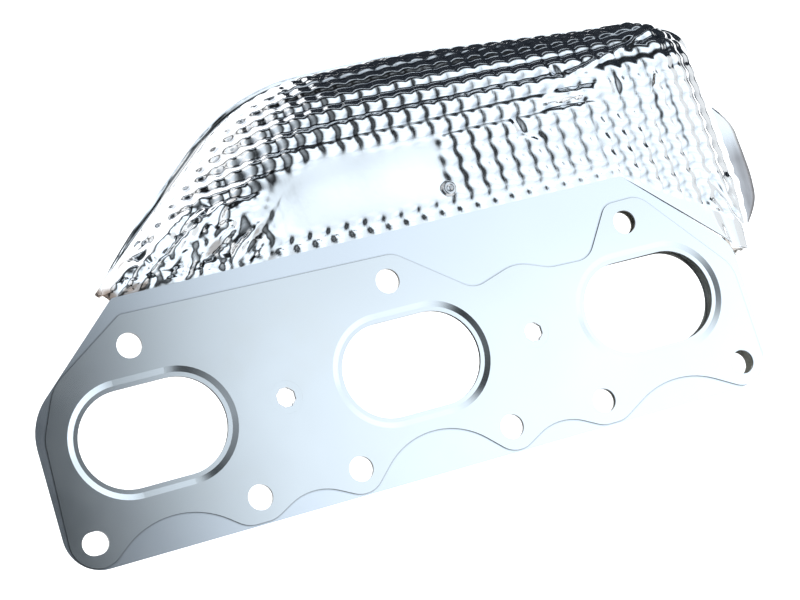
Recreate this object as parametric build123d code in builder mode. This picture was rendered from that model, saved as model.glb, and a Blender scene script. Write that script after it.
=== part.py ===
"""Three-port exhaust manifold gasket: a stack of thin steel layers with a heat shield hood.

The gasket plane is XY. +Z points out of the face that seals against the cylinder head, +X runs
along the row of ports and +Y points from the ports to the hood. The origin is the centre of the
middle port on that face. The hood leaves the top edge of the shield sheet, runs level with the
stack, turns down towards -Z round three sides and ends in a smooth brim.
"""

import os
from math import cos, radians, sin, tan

from build123d import *

os.makedirs("parts", exist_ok=True)

# Ports and fasteners
PORT_PITCH = 90.0
PORT_RADIUS = 15.85
PORT_HALF_STRAIGHT = 8.6
BEAD_WIDTH = 3.35
BEAD_SLOPE = 1.9
BEAD_STEP = 0.5
RELIEF = 0.7
STUD_RADIUS = 4.15
STUD_TOP_Y = 28.6
STUD_LOW_Y = -28.65
STUD_LOW_OFFSET = 27.45
SLOT_LENGTH = 8.6
SLOT_WIDTH = 7.4

# Layer stack, from the head side down
FRONT_T = 0.45
SKIN_T = 0.4
SPACER_T = 0.3
REAR_T = 0.25
SKIN_TOP = -FRONT_T
SPACER_TOP = SKIN_TOP - SKIN_T
REAR_TOP = SPACER_TOP - SPACER_T
STACK_BOTTOM = REAR_TOP - REAR_T

# The two rear layers spring away from the stack at the right-hand end
SPLAY_START = 51.0
SPLAY_ANGLE = 4.0
SPLAY_RADIUS = 150.0
SPLAY_RUN = 75.0
SPLAY_DEPTH = 12.0
LAYER_INSET = 1.0
LAYER_TOP_Y = 41.5

# Clinch eyelets between the ports
EYELET_X = 45.0
EYELET_BORE = 3.3
EYELET_WALL = 0.5
EYELET_FLANGE = 1.5
EYELET_FLANGE_T = 0.15
EYELET_CLEARANCE = 0.15

# Hood: three skins that run level, bend down and end in a brim
FOLD_Y = 43.5
FOLD_LEFT_X = -91.0
FOLD_RIGHT_X = 94.0
DECK_Z = -3.0
DECK_Y = 46.0
RIM_Z = -36.0
BEND_RADIUS = 26.0
INSULATION_DEPTHS = (0.6, 1.2)
INNER_DEPTHS = (1.4, 1.7)
INNER_SETBACK = 1.2
RIM_CORNER = (-95.0, 45.0, -4.0)
RIM_RUN = (0.745, 0.667)
RIM_SLOPE = 32.0

# Rivet through the hood
RIVET_X = 31.2
RIVET_Y = 54.2
RIVET_SHANK = 1.6
RIVET_HEAD = 2.9
RIVET_DOME = 1.5
RIVET_TAIL = 2.4
RIVET_TAIL_T = 0.8
RIVET_CLEARANCE = 0.1

# Outlines as (x, y, corner radius)
SKIN_OUTLINE = [
    (-127, -37.4, 12),
    (127.8, -37.4, 16),
    (127.8, 12.3, 14),
    (94, 44.6, 1),
    (-91.4, 44.6, 2),
    (-127, 12.7, 20),
]
FRONT_TOP = [
    (125, 4.5, 12),
    (98, 36.3, 8),
    (84.7, 36, 5.5),
    (73, 19.2, 8),
    (58, 19.6, 12),
    (46, 24, 14),
    (29, 18.9, 8),
    (4.5, 37, 8),
    (-90.5, 38.8, 3),
    (-117, 21.6, 14),
    (-124, 6, 12),
]
LOBE_Y = -36.6
FRONT_LOW = [
    (-125.9, LOBE_Y, 9),
    (-113.9, LOBE_Y, 9),
    (-91.5, -19.1, 28),
    (-69.1, LOBE_Y, 9),
    (-59.8, LOBE_Y, 9),
    (-45, -28.9, 18),
    (-30.2, LOBE_Y, 8),
    (-24.8, LOBE_Y, 8),
    (0, -13.1, 26),
    (24.8, LOBE_Y, 8),
    (30.2, LOBE_Y, 8),
    (45, -28.9, 18),
    (59.8, LOBE_Y, 9),
    (67.5, LOBE_Y, 9),
    (91, -23.7, 30),
    (114.5, LOBE_Y, 9),
    (125.9, LOBE_Y, 9),
]
HOOD_OUTLINE = [
    (-150, -20, 0),
    (135.5, -20, 0),
    (149, 38, 30),
    (146, 101.8, 27),
    (40, 109.5, 250),
    (-20, 108.5, 70),
    (-66, 68, 60),
    (-150, 27.8, 0),
]
HOOD_TRIM = [(-130, DECK_Y), (94.6, DECK_Y), (128.5, 13), (142, 8), (200, 8), (200, 140), (-130, 140)]
BRIM_OUTLINE = [
    (-110, DECK_Y, 0),
    (120, DECK_Y, 0),
    (146, 11, 2),
    (169.5, 45, 16),
    (157.5, 101.8, 13),
    (40, 112.7, 250),
    (-20, 111.6, 70),
    (-68, 70, 40),
]

PORTS = [-PORT_PITCH, 0.0, PORT_PITCH]
TOP_STUDS = [(x, STUD_TOP_Y) for x in PORTS]
LOW_STUDS = [(x + side * STUD_LOW_OFFSET, STUD_LOW_Y) for x in PORTS for side in (-1, 1)]
SLOT_PLACE = LOW_STUDS[0]
ROUND_STUDS = TOP_STUDS + LOW_STUDS[1:]


def outline_face(corners):
    """Fill a closed outline whose corners are rounded."""
    with BuildLine() as outline:
        FilletPolyline(*[(x, y) for x, y, r in corners], radius=[r for x, y, r in corners], close=True)
    make_face(outline.edges())


def port_slots(margin, places):
    """Cut oval ports at these places along X, each wider than the port itself by the margin."""
    with Locations(*[(x, 0) for x in places]):
        SlotCenterToCenter(2 * PORT_HALF_STRAIGHT, 2 * (PORT_RADIUS + margin), mode=Mode.SUBTRACT)


def fastener_holes():
    """Cut the stud holes, the slotted hole at the left end and the eyelet holes."""
    with Locations(*ROUND_STUDS):
        Circle(STUD_RADIUS, mode=Mode.SUBTRACT)
    with Locations(SLOT_PLACE):
        SlotOverall(SLOT_LENGTH, SLOT_WIDTH, mode=Mode.SUBTRACT)
    with Locations((-EYELET_X, 0), (EYELET_X, 0)):
        Circle(EYELET_BORE + EYELET_WALL + EYELET_CLEARANCE, mode=Mode.SUBTRACT)


def eyelet_seats(low):
    """Coin a shallow round seat for each eyelet's flange, upwards from this level."""
    with BuildSketch(Plane.XY.offset(low)) as seats:
        with Locations((-EYELET_X, 0), (EYELET_X, 0)):
            Circle(EYELET_BORE + EYELET_WALL + EYELET_FLANGE + EYELET_CLEARANCE)
    extrude(seats.sketch, amount=EYELET_FLANGE_T, mode=Mode.SUBTRACT)


def bead_ring(plane, thickness, step):
    """Sweep one half-bead round a port: a slope down or up by the step, then a flat lip."""
    reach = PORT_RADIUS + BEAD_WIDTH
    with BuildLine(plane) as path:
        Line((0, -reach), (PORT_HALF_STRAIGHT, -reach))
        RadiusArc((PORT_HALF_STRAIGHT, -reach), (PORT_HALF_STRAIGHT, reach), -reach)
        Line((PORT_HALF_STRAIGHT, reach), (-PORT_HALF_STRAIGHT, reach))
        RadiusArc((-PORT_HALF_STRAIGHT, reach), (-PORT_HALF_STRAIGHT, -reach), -reach)
        Line((-PORT_HALF_STRAIGHT, -reach), (0, -reach))
    section = Plane(origin=path.line @ 0, x_dir=plane.y_dir, z_dir=plane.x_dir)
    with BuildSketch(section) as profile:
        with BuildLine():
            Polyline(
                (0, 0),
                (BEAD_SLOPE, step),
                (BEAD_WIDTH, step),
                (BEAD_WIDTH, step - thickness),
                (BEAD_SLOPE, step - thickness),
                (0, -thickness),
                close=True,
            )
        make_face()
    sweep(sections=profile.sketch, path=path.line)


def plate(outline, top, thickness, port_margin):
    """Lay down one flat layer with its ports and holes."""
    with BuildSketch(Plane.XY.offset(top - thickness)) as layer:
        outline_face(outline)
        port_slots(port_margin, PORTS)
        fastener_holes()
    extrude(layer.sketch, amount=thickness)


def splay_end(top):
    """Bend radius of a rear layer with this top face, and where its bend ends as (x, z)."""
    radius = SPLAY_RADIUS - (SPACER_TOP - top)
    turn = radians(SPLAY_ANGLE)
    return radius, SPLAY_START + radius * sin(turn), top - radius * (1 - cos(turn))


def splay_plane(level):
    """Plane facing down at the right-hand port, on a splayed face that starts at this level."""
    turn = radians(SPLAY_ANGLE)
    radius, end_x, end_z = splay_end(level)
    seat = (PORT_PITCH, 0, end_z - (PORT_PITCH - end_x) * tan(turn))
    return Plane(seat, x_dir=(cos(turn), 0, -sin(turn)), z_dir=(-sin(turn), 0, -cos(turn)))


def splayed_layer(top, thickness, port_margin):
    """Lay down one rear layer, flat on the left and bent away from the stack on the right."""
    turn = radians(SPLAY_ANGLE)
    outer_radius, outer_x, outer_z = splay_end(top)
    inner_radius, inner_x, inner_z = splay_end(top - thickness)
    run_x = SPLAY_RUN * cos(turn)
    run_z = SPLAY_RUN * sin(turn)
    left = SKIN_OUTLINE[0][0] - 5
    with BuildSketch(Plane.XZ) as strip:
        with BuildLine():
            Line((left, top), (SPLAY_START, top))
            RadiusArc((SPLAY_START, top), (outer_x, outer_z), outer_radius)
            Line((outer_x, outer_z), (outer_x + run_x, outer_z - run_z))
            Line((outer_x + run_x, outer_z - run_z), (inner_x + run_x, inner_z - run_z))
            Line((inner_x + run_x, inner_z - run_z), (inner_x, inner_z))
            RadiusArc((inner_x, inner_z), (SPLAY_START, top - thickness), -inner_radius)
            Line((SPLAY_START, top - thickness), (left, top - thickness))
            Line((left, top - thickness), (left, top))
        make_face()
    extrude(strip.sketch, amount=60, both=True)
    with BuildSketch(Plane.XY.offset(top - SPLAY_DEPTH)) as blank:
        outline_face(SKIN_OUTLINE)
        offset(amount=-LAYER_INSET, kind=Kind.INTERSECTION, mode=Mode.REPLACE)
        with Locations((0, LAYER_TOP_Y + 10)):
            Rectangle(300, 20, mode=Mode.SUBTRACT)
        port_slots(port_margin, PORTS[:2])
        fastener_holes()
    extrude(blank.sketch, amount=SPLAY_DEPTH + 1, mode=Mode.INTERSECT)
    with BuildSketch(splay_plane(top - thickness)) as port:
        SlotCenterToCenter(2 * PORT_HALF_STRAIGHT, 2 * (PORT_RADIUS + port_margin))
    extrude(port.sketch, amount=2, both=True, mode=Mode.SUBTRACT)


# Front layer: the bright sheet with the lobed outline, its half-beads stepped into the stack
with BuildPart() as front_bead_layer:
    plate(FRONT_LOW + FRONT_TOP, 0, FRONT_T, BEAD_WIDTH)
    eyelet_seats(-EYELET_FLANGE_T)
    for port_x in PORTS:
        bead_ring(Plane((port_x, 0, 0)), FRONT_T, -BEAD_STEP)
front_bead_layer.part.label = "front_bead_layer"
export_step(front_bead_layer.part, "parts/front_bead_layer.step")


# Spacer layer: the plain sheet under the shield's foot
with BuildPart() as spacer_layer:
    splayed_layer(SPACER_TOP, SPACER_T, BEAD_WIDTH + RELIEF)
spacer_layer.part.label = "spacer_layer"
export_step(spacer_layer.part, "parts/spacer_layer.step")


# Rear layer: embossed towards the manifold, its right-hand bead on the bent part
with BuildPart() as rear_bead_layer:
    splayed_layer(REAR_TOP, REAR_T, BEAD_WIDTH)
    eyelet_seats(STACK_BOTTOM)
    for port_x in PORTS[:2]:
        bead_ring(Plane((port_x, 0, STACK_BOTTOM), x_dir=(1, 0, 0), z_dir=(0, 0, -1)), REAR_T, BEAD_STEP)
    bead_ring(splay_plane(STACK_BOTTOM), REAR_T, BEAD_STEP)
rear_bead_layer.part.label = "rear_bead_layer"
export_step(rear_bead_layer.part, "parts/rear_bead_layer.step")


# Solid form of the hood, shelled three times to give the skins and the mat between them
with BuildPart() as hood_form:
    with BuildSketch(Plane.XY.offset(RIM_Z)):
        with BuildLine():
            FilletPolyline(
                *[(x, y) for x, y, r in HOOD_OUTLINE],
                radius=[r for x, y, r in HOOD_OUTLINE],
                close=True,
            )
        make_face()
    extrude(amount=DECK_Z - RIM_Z)
    top_edges = hood_form.faces().sort_by(Axis.Z)[-1].edges()
    flat_sides = hood_form.faces().filter_by(Axis.Y) + hood_form.faces().filter_by(Axis.X)
    open_edges = [edge for face in flat_sides for edge in face.edges()]
    fillet([edge for edge in top_edges if edge not in open_edges], radius=BEND_RADIUS)

open_faces = hood_form.faces().filter_by(Axis.Y) + hood_form.faces().filter_by(Axis.X)
open_faces.append(hood_form.faces().sort_by(Axis.Z)[0])


def hood_shell(depth):
    """Shell of the hood's form from its outer face down to this depth."""
    return offset(hood_form.part, amount=-depth, openings=open_faces, mode=Mode.PRIVATE)


def rivet_hole():
    """Sketch the clearance hole for the hood's rivet."""
    with Locations((RIVET_X, RIVET_Y)):
        Circle(RIVET_SHANK + RIVET_CLEARANCE, mode=Mode.SUBTRACT)


def hood_region(clearance, low, high):
    """Sketch-and-extrude prism over the hood, set back from the open edges, to keep with INTERSECT."""
    with BuildSketch(Plane.XY.offset(low)) as region:
        with BuildLine() as edge:
            Polyline(*HOOD_TRIM, close=True)
        make_face(edge.edges())
        offset(amount=-clearance, kind=Kind.INTERSECTION, mode=Mode.REPLACE)
        rivet_hole()
    extrude(region.sketch, amount=high - low, mode=Mode.INTERSECT)


# Free edge at the left end: it climbs from the rim to the corner of the shield's foot
slope = tan(radians(RIM_SLOPE))
rim_plane = Plane(RIM_CORNER, z_dir=(slope * RIM_RUN[0], slope * RIM_RUN[1], 1))


# Shield outer skin: one sheet with a flat foot, a joggle, the hood and its brim
with BuildPart() as shield_outer_skin:
    add(hood_shell(SKIN_T))
    with BuildSketch(Plane.XY.offset(RIM_Z - SKIN_T)) as brim:
        outline_face(BRIM_OUTLINE)
        with BuildSketch(mode=Mode.PRIVATE) as inside:
            outline_face(HOOD_OUTLINE)
            offset(amount=-SKIN_T, kind=Kind.INTERSECTION, mode=Mode.REPLACE)
        add(inside.sketch, mode=Mode.SUBTRACT)
    extrude(amount=SKIN_T)
    hood_region(0, RIM_Z - SKIN_T, 0)
    split(bisect_by=rim_plane, keep=Keep.TOP)
    plate(SKIN_OUTLINE, SKIN_TOP, SKIN_T, BEAD_WIDTH + RELIEF)
    with BuildSketch(Plane.YZ.offset(FOLD_LEFT_X)) as joggle:
        with BuildLine():
            Polyline(
                (FOLD_Y, SKIN_TOP),
                (DECK_Y + SKIN_T, DECK_Z),
                (DECK_Y + SKIN_T, DECK_Z - SKIN_T),
                (FOLD_Y, SPACER_TOP),
                close=True,
            )
        make_face()
    extrude(amount=FOLD_RIGHT_X - FOLD_LEFT_X)
shield_outer_skin.part.label = "shield_outer_skin"
export_step(shield_outer_skin.part, "parts/shield_outer_skin.step")


def inner_layer(depths):
    """Hood layer between two depths under the outer face, set back from every free edge."""
    add(hood_shell(depths[1]))
    add(hood_shell(depths[0]), mode=Mode.SUBTRACT)
    hood_region(INNER_SETBACK, RIM_Z + INNER_SETBACK, 0)
    split(bisect_by=rim_plane.offset(INNER_SETBACK), keep=Keep.TOP)


# Insulation mat between the skins
with BuildPart() as shield_insulation:
    inner_layer(INSULATION_DEPTHS)
shield_insulation.part.label = "shield_insulation"
export_step(shield_insulation.part, "parts/shield_insulation.step")


# Shield inner skin, on the manifold side
with BuildPart() as shield_inner_skin:
    inner_layer(INNER_DEPTHS)
shield_inner_skin.part.label = "shield_inner_skin"
export_step(shield_inner_skin.part, "parts/shield_inner_skin.step")


# Clinch eyelets: tubes with a flange in the coined seat on each face of the stack
for name, x in (("clinch_eyelet_left", -EYELET_X), ("clinch_eyelet_right", EYELET_X)):
    with BuildPart() as clinch_eyelet:
        outer = EYELET_BORE + EYELET_WALL
        for low, high, radius in (
            (STACK_BOTTOM, 0, outer),
            (-EYELET_FLANGE_T, 0, outer + EYELET_FLANGE),
            (STACK_BOTTOM, STACK_BOTTOM + EYELET_FLANGE_T, outer + EYELET_FLANGE),
        ):
            with BuildSketch(Plane.XY.offset(low)):
                with Locations((x, 0)):
                    Circle(radius)
                    Circle(EYELET_BORE, mode=Mode.SUBTRACT)
            extrude(amount=high - low)
        rims = clinch_eyelet.edges().filter_by(GeomType.CIRCLE).filter_by(
            lambda edge: abs(edge.radius - outer - EYELET_FLANGE) < 0.01
        )
        fillet(rims.group_by(Axis.Z)[0] + rims.group_by(Axis.Z)[-1], radius=EYELET_FLANGE_T * 0.6)
    clinch_eyelet.part.label = name
    export_step(clinch_eyelet.part, f"parts/{name}.step")


# Shield rivet: domed head, shank and closed tail through the three hood layers
with BuildPart() as shield_rivet:
    tail_top = DECK_Z - INNER_DEPTHS[1]
    dome_radius = (RIVET_HEAD**2 + RIVET_DOME**2) / (2 * RIVET_DOME)
    with BuildSketch(Plane((RIVET_X, RIVET_Y, 0), x_dir=(1, 0, 0), z_dir=(0, -1, 0))) as half:
        with BuildLine():
            Polyline(
                (0, DECK_Z + RIVET_DOME),
                (0, tail_top - RIVET_TAIL_T),
                (RIVET_TAIL, tail_top - RIVET_TAIL_T),
                (RIVET_TAIL, tail_top),
                (RIVET_SHANK, tail_top),
                (RIVET_SHANK, DECK_Z),
                (RIVET_HEAD, DECK_Z),
            )
            RadiusArc((RIVET_HEAD, DECK_Z), (0, DECK_Z + RIVET_DOME), -dome_radius)
        make_face()
    revolve(axis=Axis((RIVET_X, RIVET_Y, 0), (0, 0, 1)))
shield_rivet.part.label = "shield_rivet"
export_step(shield_rivet.part, "parts/shield_rivet.step")
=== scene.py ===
"""Looks of the three-port exhaust manifold gasket with its dimpled heat shield hood."""

import bmesh
import bpy
import numpy as np
from mathutils import Matrix, Vector, noise


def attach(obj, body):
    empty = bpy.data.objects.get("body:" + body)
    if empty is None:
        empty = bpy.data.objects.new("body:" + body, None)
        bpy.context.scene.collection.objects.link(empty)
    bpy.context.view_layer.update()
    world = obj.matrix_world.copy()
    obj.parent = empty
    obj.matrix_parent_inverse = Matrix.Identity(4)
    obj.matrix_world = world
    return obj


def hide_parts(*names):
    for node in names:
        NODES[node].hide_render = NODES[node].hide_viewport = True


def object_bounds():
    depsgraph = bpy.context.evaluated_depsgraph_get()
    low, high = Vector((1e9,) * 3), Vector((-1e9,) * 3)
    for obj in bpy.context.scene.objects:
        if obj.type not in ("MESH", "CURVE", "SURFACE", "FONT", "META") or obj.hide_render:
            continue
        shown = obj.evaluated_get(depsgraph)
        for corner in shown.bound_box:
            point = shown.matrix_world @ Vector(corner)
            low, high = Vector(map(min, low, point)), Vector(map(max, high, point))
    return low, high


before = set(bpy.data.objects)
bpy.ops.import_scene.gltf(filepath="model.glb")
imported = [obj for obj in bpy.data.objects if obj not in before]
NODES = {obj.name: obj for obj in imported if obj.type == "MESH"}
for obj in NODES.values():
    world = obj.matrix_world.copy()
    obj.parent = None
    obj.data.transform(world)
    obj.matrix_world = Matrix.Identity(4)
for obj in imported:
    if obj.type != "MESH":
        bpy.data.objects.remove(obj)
CAD_LOW, CAD_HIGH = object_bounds()
MM = 0.001

# Hood: a wall line in plan as (x, y, corner radius), and the sections that stand on it
WALL_LINE = [
    (-94, 46.5, 0),
    (-20, 107.9, 70),
    (40, 108.9, 250),
    (146, 101.2, 27),
    (149, 38, 30),
    (142, 8, 0),
]
FOLD_Y = 42.9
FOLD_LEFT_X = -91.0
CHAMFER = ((94.6, 44.1), (128.4, 12.9))
FOOT_Z = -0.65
CHAMFER_Z = -1.15
RAMP = 30.0  # length over which the deck sinks away from the fold

# Each pair gives the value at the left tip and the value once the hood has grown to its full depth
GROWTH_RUN = 55.0
DECK_Z = (-0.6, -3.0)
RIM_Z = (-4.6, -36.0)
BEND = (1.8, 29.0)
BRIM_BEND = (0.8, 2.5)

# Places along the wall, in mm of travel from the left tip
CHAMFER_TRAVEL = 208.0
BACK_CORNER = 263.0
TIGHTER_BEND = (222, 250)
BACK_BRIM = (60, 120)
SIDE_BRIM_GROWS = (272, 298)
SIDE_BRIM_ENDS = (317, 350)
BARE_BRIM = (294, 308)

# Brim and back corner, in mm
THIN_BRIM = 1.6
BACK_BRIM_GAIN = 1.4
LIP_GAIN = 10.0
LIP_RUN = 10
SIDE_GAIN = 13.0
SIDE_LOSS = 14.0
CORNER_LIFT = 4.5
CORNER_LIFT_RUN = 12
CORNER_TIGHTER = 6.0
CURL_STEPS = 6
BRIM_STEPS = 8

# Embossing: a square lattice of raised dimples on the flat pattern, with deeper rows near the top
PITCH = 6.62
ROW = 6.2
ROW_START = 46.3
COLUMN_START = 0.8
BUMP = 0.62
GROOVE_SHARPNESS = 1.4
SMOOTH_PATCH = [(-36, 60), (-31, 69), (-9, 73.5), (31.5, 71), (28.5, 51), (-14, 49.5), (-30, 53)]
DENT_AREA = [(77, 74), (79, 84), (101, 87), (102, 74)]
RING_DENTS = ((-75.6, 53.8), (-84.7, 47.5))
STREAK_ALONG = np.array([0.77, 0.64])
STREAK_ACROSS = np.array([-0.64, 0.77])
STREAK_STRETCH = 3.6

# Folds: from, to, width and height, where a negative height is a groove
FOLDS = [
    ((-82, 50.5), (-52, 71), 1.2, 1.1),
    ((-78, 50), (-58, 62), 0.9, -1.0),
    ((-74, 52), (-44, 68), 1.1, 1.2),
    ((-60, 48), (-42, 60), 1.0, -1.0),
    ((-50, 48), (-36, 57), 1.1, 0.9),
    ((75, 75), (95, 74), 1.1, -1.0),
    ((82, 80.5), (97, 80), 1.1, -1.0),
    ((81, 77.5), (99, 76.8), 1.3, 0.5),
    ((83, 89), (88, 82), 1.0, -0.9),
    ((90, 84.5), (107, 89), 0.8, 0.9),
    ((107, 89), (132, 97), 0.8, 0.9),
    ((104.5, 74), (105, 81), 1.2, -0.9),
    ((62.5, 73), (65.5, 67), 1.0, -0.6),
    ((65.5, 66.5), (71, 64.5), 0.9, -0.5),
    ((126, 28), (131, 20), 1.4, 0.9),
    ((131, 34), (136, 22), 1.0, -0.9),
]

# Eyelets and rivet
EYELET_X = 45.0
EYELET_TABS = (63, -59)
BORE_ROWS = (0, 1, 2, 3)
SEAT_RADIUS = 5.43
STACK_BOTTOM = -1.4
RIVET_AT = (31.2, 54.2)
RIVET_BASE = -1.5

# Studio
FLOOR_Z = CAD_LOW.z - 0.0002
FLOOR_HALF = 2.5
SPAN_X, SPAN_Y = (-1.6, 1.8), (-1.0, 2.4)
FADE_X = (
    (-1.4, 1.1), (-0.7, 0.8), (-0.3, 0.4), (-0.05, 0.1), (0.075, 0.008), (0.1, 0.06), (0.135, 0.32),
    (0.18, 0.58), (0.22, 0.92), (0.27, 1.12), (0.4, 1.26), (0.55, 1.42), (0.8, 1.42),
)
FADE_Y = (
    (-0.3, 1.0), (0.12, 1.0), (0.165, 0.82), (0.35, 0.82), (0.55, 1.0), (1.05, 1.0), (1.25, 0.5),
    (1.45, 0.06), (1.8, 0.012), (2.2, 0.012),
)
COOL = (0.86, 0.96, 1.05)
PLAIN = (1, 1, 1)


def unit(v):
    """Vector of length 1."""
    return v / np.linalg.norm(v)


def rounded_line(corners, count):
    """Points and tangents, evenly spaced along a line whose corners are rounded."""
    places = [np.array(c[:2], float) for c in corners]
    spans = []
    start = places[0]
    for before, here, after, radius in zip(places, places[1:], places[2:], [c[2] for c in corners[1:]]):
        a, b = unit(here - before), unit(after - here)
        side = np.sign(a[0] * b[1] - a[1] * b[0])
        turn = np.arccos(np.clip(a @ b, -1, 1))
        trim = radius * np.tan(turn / 2)
        entry = here - a * trim
        spans.append(("line", start, a, np.linalg.norm(entry - start), 0.0))
        centre = entry + side * radius * np.array([-a[1], a[0]])
        spans.append(("arc", centre, entry - centre, radius * turn, side / radius))
        start = here + b * trim
    last = unit(places[-1] - start)
    spans.append(("line", start, last, np.linalg.norm(places[-1] - start), 0.0))
    total = sum(s[3] for s in spans)
    points, tangents = [], []
    for travel in np.linspace(0, total, count):
        rest = travel
        for kind, origin, arm, length, bend in spans:
            if rest <= length + 1e-9:
                break
            rest -= length
        if kind == "line":
            points.append(origin + arm * rest)
            tangents.append(arm)
        else:
            angle = rest * bend
            c, s = np.cos(angle), np.sin(angle)
            swung = np.array([c * arm[0] - s * arm[1], s * arm[0] + c * arm[1]])
            points.append(origin + swung)
            tangents.append(np.sign(bend) * unit(np.array([-swung[1], swung[0]])))
    return np.array(points), np.array(tangents), total


def smooth(x, low, high):
    """Smooth step from 0 at low to 1 at high."""
    t = np.clip((x - low) / (high - low), 0, 1)
    return t * t * (3 - 2 * t)


def blend(pair, t):
    """Value between the two of a pair."""
    return pair[0] + (pair[1] - pair[0]) * t


def brim_width(travel):
    """The brim is narrow at the back, and wide at the back corner and along the right-hand side."""
    lip = LIP_GAIN * np.exp(-(((travel - BACK_CORNER) / LIP_RUN) ** 2))
    side = SIDE_GAIN * smooth(travel, *SIDE_BRIM_GROWS) - SIDE_LOSS * smooth(travel, *SIDE_BRIM_ENDS)
    return THIN_BRIM + BACK_BRIM_GAIN * smooth(travel, *BACK_BRIM) + lip + side


def section(foot, foot_z, deck, radius, low, wall_point, out):
    """Dense points of one cross-section from the foot to the bottom of the wall, with its flat pattern."""
    radius = min(radius, 0.9 * max(1.0, (wall_point - foot) @ out))
    crest = wall_point - out * radius
    reach = np.linalg.norm(crest - foot)
    rows, flat = [], []
    for f in np.linspace(0, 1, 40)[:-1]:
        p = foot + (crest - foot) * f
        rows.append((*p, foot_z + (deck - foot_z) * smooth(f * reach, 0, min(RAMP, reach))))
        flat.append(p)
    for angle in np.linspace(0, np.pi / 2, 40):
        p = crest + out * radius * np.sin(angle)
        rows.append((*p, deck - radius * (1 - np.cos(angle))))
        flat.append(crest + out * radius * angle)
    rows.append((*p, min(low, rows[-1][2] - 0.05)))
    flat.append(flat[-1] + out * (rows[-2][2] - rows[-1][2]))
    return np.array(rows), np.array(flat)


def resample(rows, flat, count):
    """Evenly spaced points along a section."""
    steps = np.linalg.norm(np.diff(rows, axis=0), axis=1)
    travel = np.concatenate([[0], np.cumsum(steps)])
    places = np.linspace(0, travel[-1], count)
    points = np.stack([np.interp(places, travel, rows[:, k]) for k in range(3)], axis=1)
    pattern = np.stack([np.interp(places, travel, flat[:, k]) for k in range(2)], axis=1)
    return points, pattern


def hood_grid(columns, main_rows, with_brim):
    """Hood surface before embossing: points, flat pattern, weight (1 hood, 0 curl, -1 brim) and travel."""
    wall, tangent, total = rounded_line(WALL_LINE, columns)
    travel = np.linspace(0, total, columns)
    grow = 1 - (1 - np.minimum(1, travel / GROWTH_RUN)) ** 2
    chamfer_a, chamfer_b = (np.array(p) for p in CHAMFER)
    points, flats, weights = [], [], []
    for k in range(columns):
        s, w, t = travel[k], wall[k], tangent[k]
        out = np.array([-t[1], t[0]])
        deck, rim = blend(DECK_Z, grow[k]), blend(RIM_Z, grow[k])
        radius, tuck = blend(BEND, grow[k]), blend(BRIM_BEND, grow[k])
        radius -= CORNER_TIGHTER * smooth(s, *TIGHTER_BEND)
        if s <= CHAMFER_TRAVEL:
            foot, foot_z = np.array([max(w[0], FOLD_LEFT_X), FOLD_Y]), FOOT_Z
        else:
            along = (s - CHAMFER_TRAVEL) / (total - CHAMFER_TRAVEL)
            foot, foot_z = chamfer_a + (chamfer_b - chamfer_a) * along, CHAMFER_Z
        lift = CORNER_LIFT * np.exp(-(((s - BACK_CORNER) / CORNER_LIFT_RUN) ** 2))
        rows, flat = section(foot, foot_z, deck, radius, rim + lift + tuck, w, out)
        rows, flat = resample(rows, flat, main_rows)
        weight = np.ones(main_rows)
        if with_brim:
            foot_xy, arc_end = rows[-1][:2], flat[-1]
            reach_out = max(tuck + 0.6, brim_width(s))
            curl, curl_flat = [], []
            for angle in np.linspace(0, np.pi / 2, CURL_STEPS + 1)[1:]:
                p = foot_xy + out * tuck * (1 - np.cos(angle))
                curl.append((*p, rim + lift + tuck - tuck * np.sin(angle)))
                curl_flat.append(arc_end + out * tuck * angle)
            for f in np.linspace(0, 1, BRIM_STEPS + 1)[1:]:
                p = foot_xy + out * (tuck + (reach_out - tuck) * f)
                curl.append((*p, rim + lift * (1 - f)))
                curl_flat.append(arc_end + out * (tuck * np.pi / 2 + (reach_out - tuck) * f))
            rows, flat = np.concatenate([rows, curl]), np.concatenate([flat, curl_flat])
            weight = np.concatenate([weight, np.zeros(CURL_STEPS), -np.ones(BRIM_STEPS)])
        points.append(rows)
        flats.append(flat)
        weights.append(weight)
    return np.array(points), np.array(flats), np.array(weights), travel


def surface_normals(points):
    """Outward normals of a grid of points, from its own neighbours."""
    along = np.gradient(points, axis=0)
    across = np.gradient(points, axis=1)
    n = np.cross(along, across)
    return n / np.maximum(np.linalg.norm(n, axis=2, keepdims=True), 1e-12)


def crease(flat, a, b, width, height):
    """A pressed ridge or, with a negative height, a groove along a straight stretch."""
    a, b = np.array(a, float), np.array(b, float)
    span = b - a
    t = np.clip(((flat - a) @ span) / (span @ span), 0, 1)
    gap = flat - (a + t[..., None] * span)
    d = np.linalg.norm(gap, axis=-1)
    return height * np.exp(-((d / width) ** 2)) * (0.35 + 0.65 * np.sin(np.pi * np.clip(t, 0.02, 0.98)))


def inside_polygon(flat, corners, soft):
    """1 inside a convex outline, falling to 0 over a soft margin outside it."""
    corners = [np.array(c, float) for c in corners]
    area = sum(a[0] * b[1] - a[1] * b[0] for a, b in zip(corners, corners[1:] + corners[:1]))
    turn = 1.0 if area > 0 else -1.0
    worst = np.full(flat.shape[:-1], -1e9)
    for a, b in zip(corners, corners[1:] + corners[:1]):
        e = unit(b - a)
        outside = turn * (e[1] * (flat[..., 0] - a[0]) - e[0] * (flat[..., 1] - a[1]))
        worst = np.maximum(worst, outside)
    return 1 - smooth(worst, -0.3 * soft, soft)


def noise_field(flat, scale, seed):
    """Smooth noise over the flat pattern, between about -1 and 1."""
    spread = flat.reshape(-1, 2) / scale
    values = [noise.noise(Vector((p[0], p[1], seed))) for p in spread]
    return np.array(values).reshape(flat.shape[:-1]) * 1.6


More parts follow.
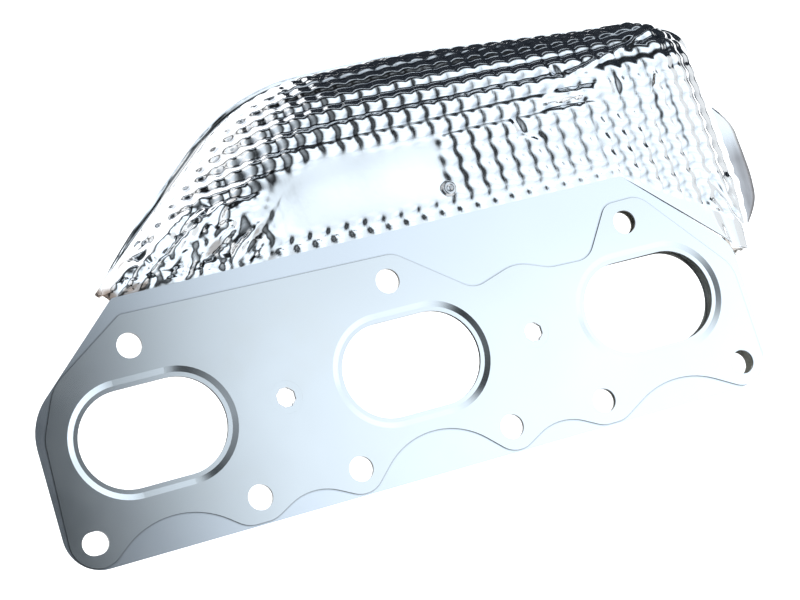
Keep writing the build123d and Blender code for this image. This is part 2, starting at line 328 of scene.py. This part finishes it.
def lattice(flat):
    """Dimple lattice, its plain cosine form, and masks of the deeper rows and of the rows at the fold."""
    x = flat[..., 0] + 0.3 * noise_field(flat, 16, 1.7)
    y = flat[..., 1] + 0.3 * noise_field(flat, 16, 9.2)
    u = 2 * np.pi * (x - COLUMN_START) / PITCH
    v = 2 * np.pi * (y - ROW_START) / ROW
    u += 0.5 * np.sin(v)
    column, row = (1 - 2 * (0.5 - 0.5 * np.cos(a)) ** GROOVE_SHARPNESS for a in (u, v))
    left_rise = 0.35 * np.maximum(0, -20 - flat[..., 0])
    right_drop = 21 * smooth(flat[..., 0], 76, 98)
    top = smooth(flat[..., 1] + left_rise - right_drop, 64, 74)
    wave = (0.43 - 0.03 * top) * column + (0.24 + 0.44 * top) * row
    plain = 0.5 * (np.cos(u) + np.cos(v))
    fold_row = (1 - smooth(y, 50.2, 51.6)) * (1 - smooth(flat[..., 0], 90, 100))
    return wave, plain, top, fold_row


def relief(points, flat, weight, travel):
    """Height of the embossing, folds and dents above the surface, with the mask of painted shade in the
    dimple pits and the stain mask, which also browns the hood's left end.
    """
    wave, plain, top, fold_row = lattice(flat)
    hood = weight > 0.5
    hood_and_curl = weight > -0.5
    patch = inside_polygon(flat, SMOOTH_PATCH, 5.0)
    steep = smooth(-points[..., 2], 12, 24)
    crumple = smooth(-flat[..., 0], 24, 46) * (1 - smooth(flat[..., 1], 62, 78)) * (1 - 0.8 * steep)
    edge = smooth(flat[..., 1] + 0.6 * np.maximum(0, flat[..., 0] - 94.6), 44.2, 46.0)
    start = smooth(travel, 2, 22)[:, None]

    # Dimples, with small marks instead of them in the two rows beside the fold
    marks = 0.5 * smooth(plain, 0.3, 0.9) - 0.4 * smooth(-plain, 0.45, 0.95)
    bumps = BUMP * (1 + 0.1 * steep) * wave * (1 - fold_row) + marks * fold_row
    bumps = bumps * (1 - patch * (1 - fold_row)) * (1 - 0.35 * crumple)
    height = np.where(hood, bumps, 0.0) * edge * start

    # Crumpled left corner and the slight waves of the smooth patch
    streaks = np.stack([flat @ STREAK_ALONG / STREAK_STRETCH, flat @ STREAK_ACROSS], axis=-1)
    rough = np.abs(noise_field(streaks, 5.2, 4.4)) + 0.45 * np.abs(noise_field(flat, 3.6, 6.1))
    height += np.where(hood, crumple * edge * (1.25 * rough - 0.4), 0.0)
    height += patch * 0.3 * noise_field(flat, 21, 5.5)

    # Folds, the flattened area round the dents, the brim's waves and two ring dents
    folds = sum(crease(flat, *fold) for fold in FOLDS)
    height += np.where(hood_and_curl, folds, 0.0) * edge
    dents = inside_polygon(flat, DENT_AREA, 3.0)
    height *= 1 - 0.5 * dents * (np.abs(folds) < 0.3)
    height += np.where(hood_and_curl, 0.0, 0.16 * noise_field(flat, 9, 3.3))
    for x, y in RING_DENTS:
        r = np.hypot(flat[..., 0] - x, flat[..., 1] - y)
        height += np.where(hood, 0.7 * np.exp(-(((r - 1.5) / 0.55) ** 2)), 0.0)

    # Painted shade: the dimple pits are darkened in the sheet's colour, more strongly in the deeper rows
    # near the top.
    pits = smooth(-plain, 0.3, 0.95) * (1 - patch * (1 - fold_row)) * (1 - crumple)
    painted_pit_shade = np.where(hood, pits * edge * start * (0.35 + 0.35 * top), 0.0)
    stain = np.where(hood, 0.8 * crumple * smooth(noise_field(streaks, 4.0, 8.8), 0.55, 0.8), 0.0)
    # The first 2 to 5 mm of the hood from its left tip take the full brown of the stain colour.
    stain = np.maximum(stain, 1 - smooth(travel, 2.0, 5.0)[:, None])
    return height, painted_pit_shade, stain


def link(name, mesh):
    """New object in the scene from a mesh."""
    made = bpy.data.objects.new(name, mesh)
    bpy.context.scene.collection.objects.link(made)
    return made


def skin_piece(name, columns, main_rows, outer, inner, with_brim, trim=(0, None, 0, None)):
    """One sheet of the hood between two depths, as a closed mesh with the shared embossing."""
    points, flat, weight, travel = hood_grid(columns, main_rows, with_brim)
    normals = surface_normals(points)
    height, painted_pit_shade, stain = relief(points, flat, weight, travel)
    height = height[..., None]
    c0, c1, r0, r1 = trim
    window = (slice(c0, c1), slice(r0, r1))
    top = (points + normals * (height - outer))[window]
    low = (points + normals * (height - inner))[window]
    n, m = top.shape[:2]
    index = np.arange(n * m).reshape(n, m)
    quads = np.stack([index[:-1, :-1], index[:-1, 1:], index[1:, 1:], index[1:, :-1]], axis=-1)
    quads = quads.reshape(-1, 4)
    under = quads[:, ::-1] + n * m
    rim = np.concatenate([index[0, :], index[1:, -1], index[-1, -2::-1], index[-2:0:-1, 0]])
    after = np.roll(rim, -1)
    sides = np.stack([rim, rim + n * m, after + n * m, after], axis=-1)
    faces = np.concatenate([quads, under, sides])
    mesh = bpy.data.meshes.new(name)
    vertices = np.concatenate([top.reshape(-1, 3), low.reshape(-1, 3)]) * MM
    mesh.from_pydata(vertices.tolist(), [], faces.tolist())
    mesh.shade_smooth()
    bare = (weight < -0.5) * smooth(travel, *BARE_BRIM)[:, None]
    for label, values in (("painted_pit_shade", painted_pit_shade), ("stain", stain), ("brim", bare)):
        attribute = mesh.attributes.new(label, "FLOAT", "POINT")
        attribute.data.foreach_set("value", np.tile(values[window].reshape(-1), 2).astype(np.float32))
    return link(name, mesh)


def foot_piece(name, source):
    """The flat foot of the shield sheet, with its holes, taken from the CAD sheet."""
    mesh = source.data.copy()
    mesh.name = name
    work = bmesh.new()
    work.from_mesh(mesh)
    bmesh.ops.remove_doubles(work, verts=work.verts, dist=1e-6)
    beyond = [v for v in work.verts if v.co.z < -0.9 * MM]
    bmesh.ops.delete(work, geom=beyond, context="VERTS")
    holes = [e for e in work.edges if e.is_boundary]
    bmesh.ops.holes_fill(work, edges=holes, sides=0)
    bmesh.ops.triangulate(work, faces=work.faces)
    bmesh.ops.recalc_face_normals(work, faces=work.faces)
    work.to_mesh(mesh)
    work.free()
    mesh.materials.clear()
    return link(name, mesh)


def turned_piece(name, centre, profile, spokes, wobble, soft=True):
    """Closed ring turned round a vertical axis from (radius, z) points, scaled by wobble(angle, row)."""
    angles = np.linspace(0, 2 * np.pi, spokes, endpoint=False)
    vertices = []
    for row, (r, z) in enumerate(profile):
        for a in angles:
            reach = r * wobble(a, row)
            x, y = centre[0] + reach * np.cos(a), centre[1] + reach * np.sin(a)
            vertices.append((x * MM, y * MM, z * MM))
    faces = []
    rows = len(profile)
    for i in range(rows):
        for j in range(spokes):
            a, b = i * spokes + j, i * spokes + (j + 1) % spokes
            above = ((i + 1) % rows) * spokes
            faces.append((a, b, above + (j + 1) % spokes, above + j))
    mesh = bpy.data.meshes.new(name)
    mesh.from_pydata(vertices, [], faces)
    work = bmesh.new()
    work.from_mesh(mesh)
    bmesh.ops.remove_doubles(work, verts=work.verts, dist=2e-6)
    bmesh.ops.recalc_face_normals(work, faces=work.faces)
    work.to_mesh(mesh)
    work.free()
    if soft:
        mesh.shade_smooth()
    return link(name, mesh)


# Materials


class Graph:
    """A short way to write a procedural material."""

    def __init__(self, name, metallic, roughness):
        self.material = bpy.data.materials.new(name)
        self.material.use_nodes = True
        self.tree = self.material.node_tree
        self.shader = self.tree.nodes["Principled BSDF"]
        self.shader.inputs["Metallic"].default_value = metallic
        self.shader.inputs["Roughness"].default_value = roughness
        self.place = self.node("ShaderNodeTexCoord").outputs["Object"]

    def node(self, kind, **inputs):
        made = self.tree.nodes.new(kind)
        for key, value in inputs.items():
            self.set(made, key, value)
        return made

    def set(self, made, key, value):
        socket = made.inputs[int(key[1:])] if key[0] == "i" and key[1:].isdigit() else made.inputs[key]
        if isinstance(value, bpy.types.NodeSocket):
            self.tree.links.new(value, socket)
        else:
            socket.default_value = value

    def stretched(self, scale):
        made = self.node("ShaderNodeMapping")
        self.tree.links.new(self.place, made.inputs["Vector"])
        made.inputs["Scale"].default_value = scale
        return made.outputs["Vector"]

    def noise(self, scale, detail=4.0, rough=0.55, vector=None):
        made = self.node("ShaderNodeTexNoise", Vector=vector or self.place, Scale=scale, Detail=detail)
        made.inputs["Roughness"].default_value = rough
        return made.outputs["Fac"]

    def ramp(self, factor, *stops):
        made = self.node("ShaderNodeValToRGB", Fac=factor)
        first, last = made.color_ramp.elements[0], made.color_ramp.elements[1]
        first.position, last.position = stops[0][0], stops[-1][0]
        first.color = (*stops[0][1], 1)
        last.color = (*stops[-1][1], 1)
        for position, colour in stops[1:-1]:
            made.color_ramp.elements.new(position).color = (*colour, 1)
        return made.outputs["Color"]

    def span(self, factor, low, high, out_low, out_high):
        made = self.node("ShaderNodeMapRange", Value=factor)
        made.inputs["From Min"].default_value = low
        made.inputs["From Max"].default_value = high
        made.inputs["To Min"].default_value = out_low
        made.inputs["To Max"].default_value = out_high
        return made.outputs["Result"]

    def mix(self, factor, a, b):
        made = self.tree.nodes.new("ShaderNodeMix")
        made.data_type = "RGBA"
        self.set(made, "Factor", factor)
        for key, value in ((6, a), (7, b)):
            if isinstance(value, bpy.types.NodeSocket):
                self.tree.links.new(value, made.inputs[key])
            else:
                made.inputs[key].default_value = (*value, 1)
        return made.outputs[2]

    def attribute(self, name):
        made = self.node("ShaderNodeAttribute")
        made.attribute_name = name
        return made.outputs["Fac"]

    def bump(self, height, strength, distance, under=None):
        made = self.node("ShaderNodeBump", Height=height, Strength=strength, Distance=distance)
        if under is not None:
            self.tree.links.new(under, made.inputs["Normal"])
        return made.outputs["Normal"]

    def wire(self, socket, value):
        self.tree.links.new(value, self.shader.inputs[socket])


def plate_steel(name, tint, low, high):
    """Rolled stainless sheet: faint rolling lines and smudges, with painted shade: upright cut edges near
    black for the shadow gaps between layers, and occlusion darkening along the seams.
    """
    g = Graph(name, 1.0, 0.3)
    lines = g.noise(1400, 2, 0.6, g.stretched((0.04, 1, 1)))
    smudge = g.noise(30, 5, 0.6)
    cloud = g.noise(11, 2, 0.5)
    # Painted shade: faces that stand upright, the cut edges of the sheets and the eyelet tube walls, are
    # coloured near black to stand for the shadow gaps between the layers.
    upright = g.node("ShaderNodeSeparateXYZ", Vector=g.node("ShaderNodeNewGeometry").outputs["True Normal"])
    level = g.node("ShaderNodeMath", i0=upright.outputs["Z"])
    level.operation = "ABSOLUTE"
    edge = g.span(level.outputs[0], 0.25, 0.6, 1, 0)
    shade = g.ramp(cloud, (0.35, [c * 0.96 for c in tint]), (0.65, tint))
    handled = [tint[0] * 0.98, tint[1] * 0.95, tint[2] * 0.9]
    warm = g.mix(g.span(smudge, 0.52, 0.7, 0, 0.3), shade, handled)
    # Painted shade: ambient occlusion within 0.8 mm darkens the colour along steps and where the layers
    # meet.
    shut = g.node("ShaderNodeAmbientOcclusion")
    shut.samples = 8
    shut.inputs["Distance"].default_value = 0.0008
    painted_contact_shade = g.span(shut.outputs["AO"], 0.55, 0.95, 0.75, 0)
    g.wire("Base Color", g.mix(edge, g.mix(painted_contact_shade, warm, (0.05, 0.055, 0.06)), (0.008, 0.009, 0.01)))
    g.wire("Roughness", g.span(smudge, 0.25, 0.75, low, high))
    g.wire("Normal", g.bump(lines, 0.08, 0.00002))
    return g.material


def shield_steel():
    """Bright embossed shield sheet with painted shade darkening the dimple pits, more towards the top rows;
    duller on the bare brim, stained where crumpled and brown at the hood's left end.
    """
    g = Graph("shield_steel", 1.0, 0.12)
    grain = g.noise(420, 3, 0.6)
    streak = g.noise(260, 3, 0.6, g.stretched((1.0, 0.12, 1)))
    # Painted shade: the pit mask darkens the base colour in the dimple pits.
    bright = g.mix(g.attribute("painted_pit_shade"), (0.92, 0.935, 0.95), (0.3, 0.33, 0.38))
    stained = g.mix(g.attribute("stain"), bright, (0.24, 0.19, 0.16))
    dull = g.ramp(streak, (0.3, (0.34, 0.325, 0.33)), (0.7, (0.56, 0.55, 0.56)))
    brim = g.attribute("brim")
    g.wire("Base Color", g.mix(brim, stained, dull))
    rough = g.span(grain, 0.3, 0.7, 0.09, 0.16)
    total = g.node("ShaderNodeMath", i0=rough, i1=g.span(brim, 0, 1, 0, 0.25))
    g.wire("Roughness", total.outputs[0])
    g.wire("Normal", g.bump(streak, 0.15, 0.0001, g.bump(g.noise(70, 4, 0.6), 0.15, 0.0004)))
    return g.material


def inner_skin():
    """Heat-stained inner sheet."""
    g = Graph("inner_skin", 0.85, 0.45)
    stain = g.noise(22, 5, 0.6)
    fine = g.noise(240, 4, 0.6)
    tones = (0.25, (0.30, 0.25, 0.21)), (0.5, (0.52, 0.49, 0.46)), (0.75, (0.62, 0.60, 0.58))
    g.wire("Base Color", g.ramp(stain, *tones))
    g.wire("Roughness", g.span(fine, 0.3, 0.7, 0.34, 0.55))
    g.wire("Normal", g.bump(fine, 0.3, 0.0002))
    return g.material


def fibre_mat():
    """Pressed mineral fibre."""
    g = Graph("insulation", 0.0, 0.95)
    strand = g.noise(700, 6, 0.75, g.stretched((1, 0.3, 1)))
    tuft = g.noise(120, 5, 0.7)
    g.wire("Base Color", g.ramp(strand, (0.3, (0.50, 0.46, 0.38)), (0.7, (0.86, 0.83, 0.76))))
    g.wire("Normal", g.bump(tuft, 0.6, 0.0006, g.bump(strand, 0.7, 0.0003)))
    return g.material


def coated_spacer():
    """Matt spacer sheet with a thin olive coating, patchy with wear."""
    g = Graph("spacer_steel", 0.7, 0.5)
    wear = g.noise(60, 5, 0.65)
    fine = g.noise(500, 3, 0.6)
    tones = (0.35, (0.10, 0.095, 0.075)), (0.55, (0.17, 0.16, 0.13)), (0.8, (0.30, 0.29, 0.26))
    g.wire("Base Color", g.ramp(wear, *tones))
    g.wire("Roughness", g.span(fine, 0.3, 0.7, 0.4, 0.62))
    g.wire("Normal", g.bump(fine, 0.25, 0.0001))
    return g.material


def eyelet_steel():
    """Plain steel of the rivet, slightly uneven."""
    g = Graph("eyelet_steel", 1.0, 0.25)
    fine = g.noise(600, 3, 0.6)
    g.wire("Base Color", g.ramp(g.noise(150, 4, 0.6), (0.3, (0.50, 0.51, 0.52)), (0.7, (0.80, 0.81, 0.83))))
    g.wire("Roughness", g.span(fine, 0.3, 0.7, 0.16, 0.34))
    g.wire("Normal", g.bump(fine, 0.3, 0.0001))
    return g.material


MATERIALS = {
    "bright_steel": plate_steel("bright_steel", (0.83, 0.86, 0.88), 0.12, 0.18),
    "shield_steel": shield_steel(),
    "foot_steel": plate_steel("foot_steel", (0.84, 0.88, 0.93), 0.12, 0.2),
    "inner_skin": inner_skin(),
    "insulation": fibre_mat(),
    "spacer_steel": coated_spacer(),
    "eyelet_steel": eyelet_steel(),
}


def paint(obj, name):
    """Give an object one of the materials."""
    obj.data.materials.clear()
    obj.data.materials.append(MATERIALS[name])


# Pieces
outer = skin_piece("shield_hood_outer", 400, 104, 0.0, 0.4, True)
mat = skin_piece("shield_mat", 250, 62, 0.85, 1.25, False, (2, -4, 2, -2))
inner = skin_piece("shield_hood_inner", 360, 90, 1.45, 1.75, False, (2, -4, 2, -2))
foot = foot_piece("shield_foot", NODES["shield_outer_skin"])


def eyelet(name, x):
    """Clinch eyelet: an eight-sided tube, flush flanges, and two small tabs left in the bore."""

    def shape(angle, row):
        if row not in BORE_ROWS:
            return 1.0
        octagon = np.cos(np.pi / 8) / np.cos((angle + np.pi / 8) % (np.pi / 4) - np.pi / 8)
        for tab in EYELET_TABS:
            away = abs((np.degrees(angle) - tab + 180) % 360 - 180)
            octagon -= 0.2 * max(0.0, 1 - away / 14) if row == 1 else 0.0
        return octagon

    profile = [
        (3.3, STACK_BOTTOM + 0.02),
        (3.3, -0.5),
        (3.32, -0.08),
        (3.42, -0.012),
        (SEAT_RADIUS, -0.01),
        (SEAT_RADIUS, -0.13),
        (3.85, -0.14),
        (3.85, STACK_BOTTOM + 0.14),
        (SEAT_RADIUS, STACK_BOTTOM + 0.13),
        (SEAT_RADIUS, STACK_BOTTOM + 0.01),
    ]
    return turned_piece(name, (x, 0), profile, 144, shape, soft=False)


def rivet():
    """Rivet through the hood: a domed head with a recessed centre, and a clinched tail."""

    def round_rim(angle, row):
        return 1 + 0.02 * np.sin(5 * angle + row)

    base = RIVET_BASE
    profile = [
        (0.0, base + 0.55),
        (0.55, base + 0.6),
        (0.95, base + 1.0),
        (1.35, base + 1.35),
        (1.8, base + 1.4),
        (2.35, base + 1.1),
        (2.85, base + 0.35),
        (2.9, base + 0.02),
        (1.6, base - 0.05),
        (1.6, base - 1.75),
        (2.3, base - 1.8),
        (2.35, base - 2.3),
        (1.2, base - 2.5),
        (0.0, base - 2.45),
    ]
    return turned_piece("shield_rivet_head", RIVET_AT, profile, 48, round_rim)


eyelet_left = eyelet("eyelet_clinch_left", -EYELET_X)
eyelet_right = eyelet("eyelet_clinch_right", EYELET_X)
rivet_head = rivet()

for piece, node, slot, look in (
    (outer, "shield_outer_skin", "shield_steel", "shield_steel"),
    (foot, "shield_outer_skin", "shield_steel", "foot_steel"),
    (mat, "shield_insulation", "insulation", "insulation"),
    (inner, "shield_inner_skin", "inner_skin", "inner_skin"),
    (eyelet_left, "clinch_eyelet_left", "eyelet_steel", "bright_steel"),
    (eyelet_right, "clinch_eyelet_right", "eyelet_steel", "bright_steel"),
    (rivet_head, "shield_rivet", "eyelet_steel", "eyelet_steel"),
):
    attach(piece, "root")
    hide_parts(node)
    paint(piece, look)

paint(NODES["front_bead_layer"], "bright_steel")
paint(NODES["rear_bead_layer"], "bright_steel")
paint(NODES["spacer_layer"], "spacer_steel")
paint(NODES["shield_outer_skin"], "shield_steel")
paint(NODES["shield_insulation"], "insulation")
paint(NODES["shield_inner_skin"], "inner_skin")
for name in ("clinch_eyelet_left", "clinch_eyelet_right", "shield_rivet"):
    paint(NODES[name], "eyelet_steel")

# Floor, lights and camera
floor_mesh = bpy.data.meshes.new("floor")
corners = [(x * FLOOR_HALF, y * FLOOR_HALF, 0) for x, y in ((-1, -1), (1, -1), (1, 1), (-1, 1))]
floor_mesh.from_pydata(corners, [], [(0, 1, 2, 3)])
floor = link("floor", floor_mesh)
floor.location.z = FLOOR_Z
paper = Graph("floor_paper", 0.0, 0.9)
paper_tones = (0.3, (0.90, 0.90, 0.90)), (0.7, (0.93, 0.93, 0.93))
paper.wire("Base Color", paper.ramp(paper.noise(40, 3), *paper_tones))
paper.shader.inputs["Emission Color"].default_value = (1, 1, 1, 1)
paper.shader.inputs["Emission Strength"].default_value = 1.0
floor.data.materials.append(paper.material)


def panel(name, corner, along, across, glow, colour=(1, 1, 1)):
    """A plain studio panel that lights the metal: seen in reflections but not by the camera."""
    a, u, v = Vector(corner), Vector(along), Vector(across)
    mesh = bpy.data.meshes.new(name)
    mesh.from_pydata([a, a + u, a + u + v, a + v], [], [(0, 1, 2, 3)])
    g = Graph(name, 0.0, 1.0)
    g.shader.inputs["Base Color"].default_value = (0, 0, 0, 1)
    g.shader.inputs["Specular IOR Level"].default_value = 0
    g.shader.inputs["Emission Color"].default_value = (*colour, 1)
    g.shader.inputs["Emission Strength"].default_value = glow
    mesh.materials.append(g.material)
    obj = link(name, mesh)
    obj.visible_camera = False
    obj.visible_shadow = False
    return g


def toned(value, tone):
    """A brightness in a light's colour."""
    return [value * c for c in tone]


# The overhead panel fades to black in a stripe near its middle and towards its back
overhead_along, overhead_across = SPAN_X[1] - SPAN_X[0], SPAN_Y[1] - SPAN_Y[0]
overhead = panel(
    "panel_overhead", (SPAN_X[0], SPAN_Y[0], 1.0), (overhead_along, 0, 0), (0, overhead_across, 0), 1.0
)
place = overhead.node("ShaderNodeSeparateXYZ", Vector=overhead.place)
fades = []
for axis, span, stops, tone in (("X", SPAN_X, FADE_X, COOL), ("Y", SPAN_Y, FADE_Y, PLAIN)):
    where = overhead.span(place.outputs[axis], *span, 0, 1)
    points = [((p - span[0]) / (span[1] - span[0]), toned(value, tone)) for p, value in stops]
    fades.append(overhead.ramp(where, *points))
product = overhead.mix(1.0, fades[0], fades[1])
product.node.blend_type = "MULTIPLY"
left_end = overhead.span(place.outputs["X"], -0.75, -0.4, 1, 0)
overhead.wire("Emission Color", overhead.mix(left_end, product, toned(1.0, COOL)))

# Side panels, with gaps at the back left that draw thin lines on the dimples, and a dark floor flag
panel("panel_front", (-0.9, -1.1, 0.0), (2.0, 0, 0), (0, 0.1, 0.9), 1.15)
panel("panel_right", (1.6, -1.0, 0.0), (0.0, 1.8, 0), (0.2, 0, 1.0), 0.9, (0.95, 0.98, 1.0))
panel("panel_back_left_low", (-1.3, 0.3, -0.02), (1.0, 1.0, 0), (0, 0, 0.14), 1.1)
panel("panel_back_left_middle", (-1.3, 0.3, 0.26), (1.0, 1.0, 0), (0, 0, 0.16), 1.1)
panel("panel_back_left_high", (-1.3, 0.3, 0.56), (1.0, 1.0, 0), (0, 0, 0.4), 1.1)
panel("panel_back", (-0.7, 2.3, 0.3), (2.6, 0, 0), (0, 0, 0.26), 0.8, (0.85, 0.95, 1.05))
flag_corner = (0.0, 0.118, FLOOR_Z + 0.0003)
panel("flag_floor", flag_corner, (2.2, -0.1, 0), (0.3, 2.2, 0), 0.03, (0.6, 0.75, 1.0))

world = bpy.data.worlds.new("studio")
world.use_nodes = True
world.node_tree.nodes["Background"].inputs["Color"].default_value = (0.25, 0.33, 0.45, 1)
world.node_tree.nodes["Background"].inputs["Strength"].default_value = 0.06
bpy.context.scene.world = world
bpy.context.scene.view_settings.view_transform = "Standard"

camera_data = bpy.data.cameras.new("camera")
camera_data.lens = 101.71
camera_data.sensor_width = 36
camera_data.clip_start = 0.01
camera = bpy.data.objects.new("camera", camera_data)
right, up = (0.90321, -0.28702, 0.31912), (0.22847, 0.95093, 0.20864)
back = (-0.36334, -0.11553, 0.92446)
axes = Matrix((right, up, back)).transposed()
camera.matrix_world = Matrix.Translation((-0.26859, -0.06465, 0.68896)) @ axes.to_4x4()
bpy.context.scene.collection.objects.link(camera)
bpy.context.scene.camera = camera
